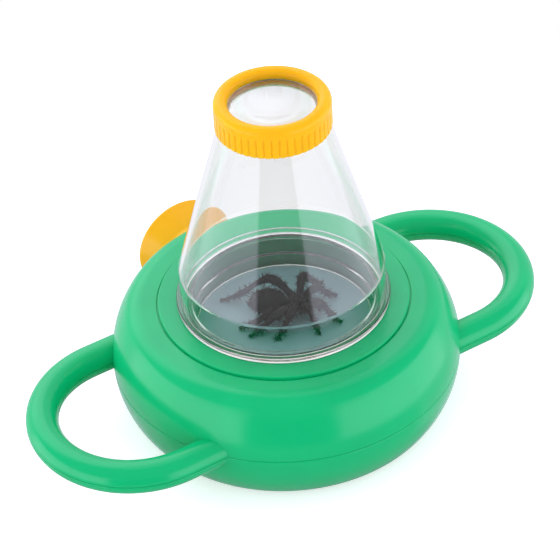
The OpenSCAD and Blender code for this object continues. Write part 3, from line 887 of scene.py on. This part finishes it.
grooves, given, result = new_tree("grip grooves", [
    ("Groove count", "NodeSocketInt"), ("Groove depth", FLOAT), ("Groove share", FLOAT),
    ("Band top", FLOAT), ("Band fade", FLOAT), ("Side radius", FLOAT)])
position = add(grooves, "GeometryNodeInputPosition").outputs[0]
axes = add(grooves, "ShaderNodeSeparateXYZ", {0: position})
angle = calc(grooves, "ARCTAN2", axes.outputs[1], axes.outputs[0])
turn = calc(grooves, "DIVIDE", angle, 2 * math.pi)
step_along = calc(grooves, "FRACT", product(grooves, turn, given.outputs["Groove count"]))
off_centre = calc(grooves, "ABSOLUTE", calc(grooves, "SUBTRACT", step_along, 0.5))
press = ramp(grooves, off_centre, 0.0, given.outputs["Groove share"], 1.0, 0.0)
fade_low = calc(grooves, "SUBTRACT", given.outputs["Band top"], given.outputs["Band fade"])
in_band = ramp(grooves, axes.outputs[2], fade_low, given.outputs["Band top"], 1.0, 0.0)
outward = add(grooves, "ShaderNodeCombineXYZ", {0: axes.outputs[0], 1: axes.outputs[1]}).outputs[0]
distance = add(grooves, "ShaderNodeVectorMath", {0: outward}, operation="LENGTH").outputs["Value"]
on_side = calc(grooves, "GREATER_THAN", distance, given.outputs["Side radius"])
inward = product(grooves, press, in_band, on_side, given.outputs["Groove depth"], -1.0)
unit = add(grooves, "ShaderNodeVectorMath", {0: outward}, operation="NORMALIZE").outputs[0]
pressed = add(grooves, "GeometryNodeSetPosition",
              {"Geometry": given.outputs["Geometry"], "Offset": scaled(grooves, unit, inward)})
close_tree(grooves, given, result, pressed.outputs[0])
print("grip grooves tree has", len(grooves.nodes), "nodes")

# %% [markdown]
# The cap itself is turned: a bore for the neck, a straight side and a round lip over the lens.
# Its side has many short steps so that the grooves have points to press. A tree's inputs are set
# by the socket's identifier, because names may repeat, and before the piece is first evaluated.

# %% Magnifier cap
CAP_R = 20.88
CAP_BORE_R = 18.38
CAP_Z = 125.2
CAP_TOP_Z = frame_mm("magnifier_cap", 1, 2)
CAP_LIP_R = 2.6
CAP_LIP_Z = 133.4
GROOVE_COUNT = 48
GROOVE_SAMPLES = 16
GROOVE_DEPTH = 0.38
GROOVE_SHARE = 0.2
BAND_H = 8.0
BAND_FADE = 1.2
SIDE_MARGIN = 0.45
SIDE_STEPS = 14
LIP_STEPS = 24


def grown(piece, tree, values):
    """Runs a tree on a piece and keeps the result as the piece's plain mesh."""
    step = piece.modifiers.new(tree.name, "NODES")
    step.node_group = tree
    for item in tree.interface.items_tree:
        if item.in_out == "INPUT" and item.name in values:
            step[item.identifier] = values[item.name]
    return baked(piece)


lip_centre_z = CAP_TOP_Z - CAP_LIP_R
side = [(CAP_R, CAP_Z + (lip_centre_z - CAP_Z) * i / SIDE_STEPS) for i in range(1, SIDE_STEPS)]
cap = spun("cap_moulding", rounded(
    [(CAP_BORE_R, CAP_Z, 0.3), (CAP_R, CAP_Z, 0.35)] + side
    + arc(CAP_R - CAP_LIP_R, lip_centre_z, CAP_LIP_R, 0, 180, LIP_STEPS)
    + [(CAP_OPEN_R, CAP_LIP_Z, 0.2), (CAP_BORE_R, CAP_LIP_Z)]), GROOVE_COUNT * GROOVE_SAMPLES)
smooth(grown(cap, grooves, {
    "Groove count": GROOVE_COUNT, "Groove depth": GROOVE_DEPTH * MM, "Groove share": GROOVE_SHARE,
    "Band top": (CAP_Z + BAND_H) * MM, "Band fade": BAND_FADE * MM,
    "Side radius": (CAP_R - SIDE_MARGIN) * MM, "Finish": orange_plastic}), crease=50)
print("cap faces:", len(cap.data.polygons), "with", GROOVE_COUNT, "grooves")

# %% [markdown]
# Six screws hold the viewer together: four come up from below into the bosses, two hold the
# mirror's holder. Each size is modelled once, with a pan head and a cross slot. The thread is a row
# of rings, not a true helix: at this size the two look alike, and the rings stay a closed solid.

# %% Screw shape
THREAD_PITCH = 1.1
THREAD_DEPTH = 0.25
HEAD_H = 2.2
SLOT_HALF_W = 0.4


def screw_master(shank_r, length, head_r, up):
    """One screw round the origin with its head's seat at 0, its shank up (1) or down (-1)."""
    pitches = int((length - 2) / THREAD_PITCH)
    core_r = shank_r - THREAD_DEPTH
    thread = []
    for i in range(pitches):
        low = 1 + THREAD_PITCH * i
        thread += [(core_r, low), (shank_r, low + THREAD_PITCH / 2)]
    screw = spun("screw", rounded(
        [(0, -HEAD_H), (head_r * 0.55, -HEAD_H, 0.6), (head_r, -HEAD_H * 0.45, 0.5),
         (head_r, 0, 0.15), (core_r, 0)] + thread
        + [(core_r, 1 + THREAD_PITCH * pitches), (0, length)]), 48)
    reach = head_r * 0.62
    slot_top = -HEAD_H - 1
    slot_floor = -HEAD_H * 0.5
    combined(screw, [
        block((-reach, -SLOT_HALF_W, slot_top), (reach, SLOT_HALF_W, slot_floor)),
        block((-SLOT_HALF_W, -reach, slot_top), (SLOT_HALF_W, reach, slot_floor))], "DIFFERENCE")
    for v in screw.data.vertices:
        v.co = Vector((v.co.x, v.co.y * up, v.co.z * up))
    return smooth(screw)


print("a screw's thread has a pitch of", THREAD_PITCH)

# %% [markdown]
# A Geometry Nodes tree sets a copy of the screw on every point it is given. Copied objects would
# do as well, but this way the screws of one kind become one plain mesh.

# %% Screws in place
TAB_TOP_Z = 8.4

screw_set, given, result = new_tree("screw set", [("Screw", "NodeSocketObject")])
master = add(screw_set, "GeometryNodeObjectInfo", {"Object": given.outputs["Screw"]})
master.inputs["As Instance"].default_value = True
placed = add(screw_set, "GeometryNodeInstanceOnPoints",
             {"Points": given.outputs["Geometry"], "Instance": master.outputs["Geometry"]})
close_tree(screw_set, given, result, placed.outputs[0])


def screws(name, places, height, model):
    """A screw on each place, as one plain mesh in steel."""
    mesh = bpy.data.meshes.new(name)
    mesh.from_pydata([(x * MM, y * MM, height * MM) for x, y in places], [], [])
    piece = grown(new_piece(name, mesh), screw_set, {"Screw": model, "Finish": screw_steel})
    bpy.data.objects.remove(model)
    return smooth(piece)


body_screws = screws("steel_body_screws", screw_places, HEAD_SEAT_Z, screw_master(1.5, 20, 2.9, 1))
holder_screws = screws(
    "steel_holder_screws", tab_places, TAB_TOP_Z, screw_master(1.2, 4.9, 2.3, -1))
print("screws:", len(screw_places), "from below and", len(tab_places), "on the holder")

# %% [markdown]
# A black plastic toy spider lies in the dish. Its body is a few round forms, and its legs are
# tubes that swell at the joints. Both are placed as seen from the front and then turned into the
# frame, so that left and right in the numbers are left and right in the picture.

# %% Round forms and limbs
SPIDER_TURN = math.radians(-30.6)
LEG_STEPS = 30
LEG_SIDES = 12
SWELL = 0.22


def in_dish(x, y, z):
    """A place in the dish seen from the front, in millimetres, as a point of the frame."""
    turned = Vector((x, y)).to_3d()
    turned.rotate(Quaternion((0, 0, 1), SPIDER_TURN))
    return Vector((turned.x, turned.y, DISH_FLOOR_Z + z)) * MM


def add_blob(bm, centre, halves):
    """A round form with its half sizes along the dish's axes."""
    made = bmesh.ops.create_uvsphere(bm, u_segments=32, v_segments=20, radius=1)
    for v in made["verts"]:
        v.co = in_dish(*(c + h * k for c, h, k in zip(centre, halves, v.co)))


def along(points, t):
    """A point of a smooth curve through the given points, t from 0 to 1."""
    span = t * (len(points) - 1)
    i = min(int(span), len(points) - 2)
    p0, p1, p2, p3 = (Vector(points[min(max(k, 0), len(points) - 1)]) for k in range(i - 1, i + 3))
    u = span - i
    return 0.5 * (2 * p1 + (p2 - p0) * u + (2 * p0 - 5 * p1 + 4 * p2 - p3) * u * u
                  + (3 * p1 - p0 - 3 * p2 + p3) * u ** 3)


def add_limb(bm, points, root_r, tip_r, joints):
    """A tapering tube through the points that swells at its joints."""
    rings = []
    for k in range(LEG_STEPS + 1):
        t = k / LEG_STEPS
        here = along(points, t)
        way = (along(points, min(t + 0.02, 1)) - along(points, max(t - 0.02, 0))).normalized()
        aside = way.cross((0, 0, 1)).normalized()
        above = aside.cross(way)
        r = (root_r + (tip_r - root_r) * t) * (1 + SWELL * math.cos(2 * math.pi * t * joints))
        turns = [2 * math.pi * i / LEG_SIDES for i in range(LEG_SIDES)]
        rings.append([bm.verts.new(in_dish(*(here + (aside * math.cos(a) + above * math.sin(a)) * r)))
                      for a in turns])
    for ring, following in zip(rings, rings[1:]):
        for i in range(LEG_SIDES):
            j = (i + 1) % LEG_SIDES
            bm.faces.new((ring[i], ring[j], following[j], following[i]))
    bm.faces.new(rings[0])
    bm.faces.new(rings[-1])


print("a limb has", LEG_STEPS + 1, "rings of", LEG_SIDES, "points")

# %% [markdown]
# The forms and the legs go into one mesh. A voxel remesh melts them into one skin, as in a
# one-piece toy, which Booleans could do too, but without the soft creases.

# %% Toy spider's body and legs
THORAX_AT = (5.5, 3.5, 4.8)
BODY_FORMS = [((-6.0, 4.0, 6.1), (7.0, 4.8, 4.8)), ((-12.2, 4.0, 5.2), (1.6, 1.2, 1.0)),
              (THORAX_AT, (5.0, 3.9, 3.4)), ((9.4, 3.2, 4.6), (2.6, 2.6, 2.3))]
LEG_KNEES = [(-4.5, 13, 9.5), (-5, -4.5, 7), (-2, -6, 8), (2.5, -6, 8),
             (9, -4, 8), (13, 0, 7), (7.5, 13, 9.5), (12, 8, 8)]
LEG_TIPS = [(-24, 12.5), (-17, -4), (-13.5, -9), (-3.5, -12),
            (12.5, -10), (21, -4), (15, 20), (20, 12)]
LEG_ROOT_R = 1.9
LEG_TIP_R = 0.6
LEG_JOINTS = 3
SPIDER_VOXEL = 0.28 * MM

bm = bmesh.new()
for centre, halves in BODY_FORMS:
    add_blob(bm, centre, halves)
for knee, tip in zip(LEG_KNEES, LEG_TIPS):
    shin = tuple(k + (t - k) * 0.6 for k, t in zip(knee[:2], tip)) + (knee[2] * 0.35,)
    add_limb(bm, [THORAX_AT, knee, shin, (*tip, LEG_TIP_R)], LEG_ROOT_R, LEG_TIP_R, LEG_JOINTS)
for fang in (-1, 1):
    add_limb(bm, [(10.5, 3.2 + fang * 1.2, 4.2), (12.6, 3.2 + fang * 1.5, 3.4),
                  (12.9, 3.2 + fang * 0.9, 1.2)], 1.0, 0.4, 1)
spider = mesh_piece("toy_spider_moulding", bm)
melt = spider.modifiers.new("melt", "REMESH")
melt.mode = "VOXEL"
melt.voxel_size = SPIDER_VOXEL
ease = spider.modifiers.new("ease", "SMOOTH")
ease.factor = 0.5
ease.iterations = 2
baked(spider).data.shade_smooth()
print("spider skin faces:", len(spider.data.polygons))

# %% [markdown]
# The toy is covered with short moulded bristles. Hair would not reach the export as a mesh, so a
# tree scatters small three-sided spikes over the skin, each with its own length and lean. The seed
# is fixed, so every run plants the same ones.

# %% Bristles on the spider
BRISTLE_DENSITY = 1.3e6
BRISTLE_SHORT = 0.8 * MM
BRISTLE_LONG = 2.2 * MM
BRISTLE_LEAN = 0.6
BRISTLE_SEED = 7
BRISTLE_FACES = 4

bristles, given, result = new_tree("bristles", [
    ("Bristle", "NodeSocketObject"), ("Density", FLOAT), ("Shortest", FLOAT), ("Longest", FLOAT),
    ("Lean", FLOAT), ("Seed", "NodeSocketInt")])
scatter = add(bristles, "GeometryNodeDistributePointsOnFaces",
              {"Mesh": given.outputs["Geometry"], "Density": given.outputs["Density"],
               "Seed": given.outputs["Seed"]})
spike = add(bristles, "GeometryNodeObjectInfo", {"Object": given.outputs["Bristle"]})
length = add(bristles, "FunctionNodeRandomValue",
             {2: given.outputs["Shortest"], 3: given.outputs["Longest"], 8: given.outputs["Seed"]},
             data_type="FLOAT").outputs[1]
least = product(bristles, given.outputs["Lean"], -1.0)
tilt = add(bristles, "FunctionNodeRandomValue",
           {0: least, 1: given.outputs["Lean"], 8: given.outputs["Seed"]},
           data_type="FLOAT_VECTOR").outputs[0]
planted = add(bristles, "GeometryNodeInstanceOnPoints",
              {"Points": scatter.outputs["Points"], "Instance": spike.outputs["Geometry"],
               "Rotation": scatter.outputs["Rotation"], "Scale": length})
leaning = add(bristles, "GeometryNodeRotateInstances",
              {"Instances": planted.outputs[0], "Rotation": tilt})
both = add(bristles, "GeometryNodeJoinGeometry")
bristles.links.new(given.outputs["Geometry"], both.inputs[0])
bristles.links.new(leaning.outputs[0], both.inputs[0])
close_tree(bristles, given, result, both.outputs[0])

bm = bmesh.new()
bmesh.ops.create_cone(bm, segments=3, radius1=0.09, radius2=0.0, depth=1.0, cap_ends=True)
bmesh.ops.translate(bm, verts=bm.verts, vec=(0, 0, 0.45))
bristle = mesh_piece("bristle", bm)
skin_faces = len(spider.data.polygons)
grown(spider, bristles, {
    "Bristle": bristle, "Density": BRISTLE_DENSITY, "Shortest": BRISTLE_SHORT,
    "Longest": BRISTLE_LONG, "Lean": BRISTLE_LEAN, "Seed": BRISTLE_SEED, "Finish": toy_black})
bpy.data.objects.remove(bristle)
print("bristles:", (len(spider.data.polygons) - skin_faces) // BRISTLE_FACES)

# %% [markdown]
# A small ring in the eyecup holds the eyepiece lens. The flat mirror and its holder keep their
# CAD shapes, since they are plain plates, and only get their finishes.

# %% Lens ring and the pieces that keep their CAD shape
RING_W = 1.8
RING_T = 2.0

ring_y = EYE_SEAT_Y + EYE_LENS_EDGE_T
lens_ring = smooth(along_eyepiece(spun("eyepiece_ring_moulding", rounded([
    (eye_seat_r - RING_W, ring_y, 0.2), (eye_seat_r, ring_y, 0.2),
    (eye_seat_r, ring_y + RING_T, 0.2), (eye_seat_r - RING_W, ring_y + RING_T, 0.4)]), 128)))
for node_name, finish in (("mirror", mirror_silver), ("mirror_holder", black_plastic)):
    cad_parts[node_name].material_slots[0].material = finish
print("lens ring at", ring_y, "and", len(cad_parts), "CAD nodes in all")

# %% [markdown]
# Each dressed piece stands for a CAD node and rides on the body that carries it, so it moves
# when the dish is lifted out, the cone is taken off or the cap is turned. One list says for every
# piece its finish, its body, its node and its material slot. The pieces are painted from it
# first. The dish gets a second finish, on the flat faces of its floor only.

# %% Paint the pieces
FLAT = 0.99
ON_FLOOR = 0.02

dressed = [
    (upper, green_plastic, "base", "upper_shell", "green_shell"),
    (lower, green_plastic, "base", "lower_shell", "green_shell"),
    (body_screws, screw_steel, "base", "shell_screws", "screw_steel"),
    (holder_screws, screw_steel, "base", "mirror_screws", "screw_steel"),
    (eyecup, eyecup_plastic, "base", "eyepiece_cup", "orange_plastic"),
    (eye_lens, lens_clear, "base", "eyepiece_lens", "clear_plastic"),
    (lens_ring, orange_plastic, "base", "eyepiece_lens_ring", "orange_plastic"),
    (dish, dish_clear, "dish", "specimen_dish", "clear_plastic"),
    (spider, toy_black, "dish", "toy_spider", "spider_black"),
    (cone, cone_clear, "cone", "viewing_cone", "clear_plastic"),
    (top_lens, lens_clear, "top_lens", "magnifier_lens", "clear_plastic"),
    (cap, orange_plastic, "cap", "magnifier_cap", "orange_plastic"),
]
for piece, finish, *_ in dressed:
    piece.data.materials.clear()
    piece.data.materials.append(finish)
dish.data.materials.append(dish_frost)
frosted = 0
for face in dish.data.polygons:
    if face.normal.z > FLAT and abs(face.center.z / MM - DISH_FLOOR_Z) < ON_FLOOR:
        face.material_index = 1
        frosted += 1
print("painted pieces:", len(dressed), "with", frosted, "frosted faces on the dish")

# %% [markdown]
# Then each piece is put on its body, and the CAD node that it stands for is hidden. Riding on a
# body is what moves it with the model: a piece that rides on no body would stay behind when the
# joints move.

# %% Put the pieces on their bodies
for piece, finish, body, node_name, slot in dressed:
    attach(piece, body)
    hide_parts(node_name)
print("dressed pieces:", len(dressed))

# %% [markdown]
# The studio is plain: a pale floor in a bright room. The floor keeps the soft shadow. What the
# camera sees of it, directly or through clear plastic, is lifted to meet the white background.
# Seen from below, or in a reflection, it gives way to the room, so the viewer can be looked at
# from every side.

# %% Floor
FLOOR_R = 260.0
FLOOR_COLOUR = (0.84, 0.82, 0.80)
FLOOR_LIFT = 0.55
FLOOR_DROP = 0.1


def floor_material():
    """Pale floor that keeps shadows. Seen directly it is lifted to meet the white background."""
    material, tree, shader = blank_material("pale_floor")
    paper = ramp(tree, noise(tree, 30.0, 3.0), 0.2, 0.8, 0.97, 1.0)
    tree.links.new(scaled(tree, FLOOR_COLOUR, paper), shader.inputs["Base Color"])
    shader.inputs["Roughness"].default_value = 0.9
    shader.inputs["Specular IOR Level"].default_value = 0.0
    light = add(tree, "ShaderNodeLightPath")
    seen = calc(tree, "MAXIMUM", light.outputs["Is Camera Ray"], light.outputs["Is Transmission Ray"])
    glow = add(tree, "ShaderNodeEmission", {"Strength": product(tree, seen, FLOOR_LIFT)})
    lifted = add(tree, "ShaderNodeAddShader", {0: shader.outputs[0], 1: glow.outputs[0]})
    clear_side = add(tree, "ShaderNodeBsdfTransparent")
    below = add(tree, "ShaderNodeNewGeometry").outputs["Backfacing"]
    unseen = calc(tree, "MAXIMUM", below, light.outputs["Is Glossy Ray"])
    shown = add(tree, "ShaderNodeMixShader",
                {0: unseen, 1: lifted.outputs[0], 2: clear_side.outputs[0]})
    tree.links.new(shown.outputs[0], tree.nodes["Material Output"].inputs["Surface"])
    return material


bm = bmesh.new()
bmesh.ops.create_circle(bm, cap_ends=True, segments=128, radius=FLOOR_R * MM)
floor = mesh_piece("pale_floor", bm)
for face in floor.data.polygons:
    if face.normal.z < 0:
        floor.data.flip_normals()
floor.location.z = -FLOOR_DROP * MM
floor.data.materials.append(floor_material())
print("floor radius", FLOOR_R)

# %% [markdown]
# The room is the world, so its light also reaches inside the clear pieces. Two broad soft panels
# stand left and right of the camera, a window is behind the viewer, and the room dims below. The
# clear cone mirrors the panels as two pale veils beside a clear strip, where a dark gap lies
# between them. That gap, and the dark flags that a photographer hangs above, are seen only by
# reflections, so they shape the gloss and take no light from the front. Camera rays, also through
# clear plastic, see plain white.

# %% Shape of the room
PANEL_NEAR = math.cos(math.radians(29))
PANEL_FAR = math.cos(math.radians(115))
PANEL_NEAR_SOFT = 0.02
PANEL_FAR_SOFT = 0.1
PANEL_TOP = (0.25, 0.45)
PANEL_FOOT = (-0.4, -0.3)
FLAG_FROM = (-0.75, -0.35)
FLAG_FOOT = (0.2, 0.4)
FLAG_SHADE = 0.8
LOW_BEHIND = -0.77
LOW_AHEAD = -0.35
LOW_SOFT = 0.05
WINDOW_WAY = (0.0, 0.75, 0.66)
WINDOW_EDGE = (0.8, 0.95)

world = bpy.data.worlds.new("studio_room")
bpy.context.scene.world = world
world.use_nodes = True
tree = world.node_tree
direction = add(tree, "ShaderNodeTexCoord").outputs["Generated"]
parts = add(tree, "ShaderNodeSeparateXYZ", {0: direction})
height = parts.outputs[2]
level_way = add(tree, "ShaderNodeCombineXYZ", {0: parts.outputs[0], 1: parts.outputs[1]}).outputs[0]
level_way = add(tree, "ShaderNodeVectorMath", {0: level_way}, operation="NORMALIZE").outputs[0]
ahead = facing(tree, level_way, Vector((toward_camera.x, toward_camera.y, 0)).normalized())
beyond_gap = ramp(tree, ahead, PANEL_NEAR - PANEL_NEAR_SOFT, PANEL_NEAR + PANEL_NEAR_SOFT, 1.0, 0.0)
before_far = ramp(tree, ahead, PANEL_FAR - PANEL_FAR_SOFT, PANEL_FAR + PANEL_FAR_SOFT)
in_height = product(tree, ramp(tree, height, *PANEL_TOP, 1.0, 0.0), ramp(tree, height, *PANEL_FOOT))
panel = product(tree, beyond_gap, before_far, in_height)
gap = product(tree, left_of(tree, beyond_gap), in_height)
flags = product(tree, ramp(tree, ahead, *FLAG_FROM, 0.0, FLAG_SHADE), ramp(tree, height, *FLAG_FOOT))
dark = product(tree, calc(tree, "MAXIMUM", gap, flags), left_of(tree, panel))
window = ramp(tree, facing(tree, direction, WINDOW_WAY), *WINDOW_EDGE)
low_edge = ramp(tree, ahead, -0.3, 0.3, LOW_BEHIND, LOW_AHEAD)
above_low = ramp(tree, calc(tree, "SUBTRACT", height, low_edge), -LOW_SOFT, LOW_SOFT)
print("room has", len(tree.nodes), "nodes for its shape")

# %% [markdown]
# Now each part of the room gets its strength. It stays near 1, the level at which a colour looks
# as it is written, and only the panels and the window are about twice as bright. All of it is
# slightly cool, as daylight lamps are. The white background is a strength of 1 without any tint.

# %% Light of the room
PANEL_LIGHT = 2.25
ROOM_LIGHT = 0.85
TOP_LIGHT = 1.06
LOW_LIGHT = 0.5
WINDOW_LIGHT = 2.0
COOL_TINT = (0.94, 0.96, 1.13, 1)
WHITE = (1, 1, 1, 1)

light = add(tree, "ShaderNodeLightPath")
shade = product(tree, dark, light.outputs["Is Glossy Ray"])
room = ramp(tree, height, 0.3, 0.9, ROOM_LIGHT, TOP_LIGHT)
low_share = calc(tree, "ADD", product(tree, above_low, 1.0 - LOW_LIGHT), LOW_LIGHT)
room = product(tree, room, low_share, left_of(tree, shade))
studio = calc(tree, "ADD", room, product(tree, panel, PANEL_LIGHT - ROOM_LIGHT))
studio = calc(tree, "ADD", studio, product(tree, window, WINDOW_LIGHT - ROOM_LIGHT))
seen = calc(tree, "MAXIMUM", light.outputs["Is Camera Ray"], light.outputs["Is Transmission Ray"])
strength = add(tree, "ShaderNodeMix", {0: seen, 2: studio, 3: 1.0}, data_type="FLOAT").outputs[0]
tree.links.new(strength, tree.nodes["Background"].inputs["Strength"])
tree.links.new(blend(tree, seen, COOL_TINT, WHITE), tree.nodes["Background"].inputs["Color"])
print("room light", ROOM_LIGHT, "with panels at", PANEL_LIGHT, "and a window at", WINDOW_LIGHT)
